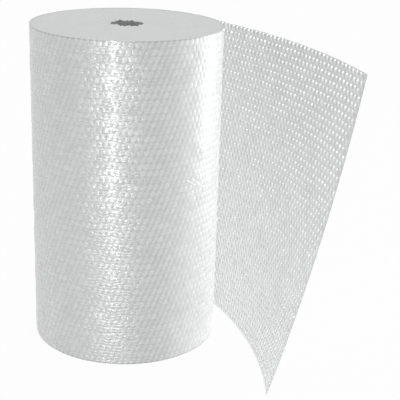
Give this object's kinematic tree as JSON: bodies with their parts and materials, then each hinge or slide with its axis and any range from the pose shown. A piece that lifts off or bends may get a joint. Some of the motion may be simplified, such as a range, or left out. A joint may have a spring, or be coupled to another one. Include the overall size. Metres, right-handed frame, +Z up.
{
  "type": "bubble wrap roll",
  "caption": "Upright roll of bubble wrap film with an open bore and a loose tail that stands away from the roll.",
  "frame": {"origin": "on the bore's axis, in the plane of the lower end face that the roll stands on", "axes": "+Z up along the bore; the tail leaves the roll on its right side (+X) and runs towards -Y"},
  "size_m": [0.7121, 0.6081, 0.75],
  "materials": {
    "film": "clear polyethylene bubble film, milky grey in many layers, glossy with a bright dot on each bubble"
  },
  "bodies": {
    "root": {"bubble_film": "film"}
  },
  "joints": []
}
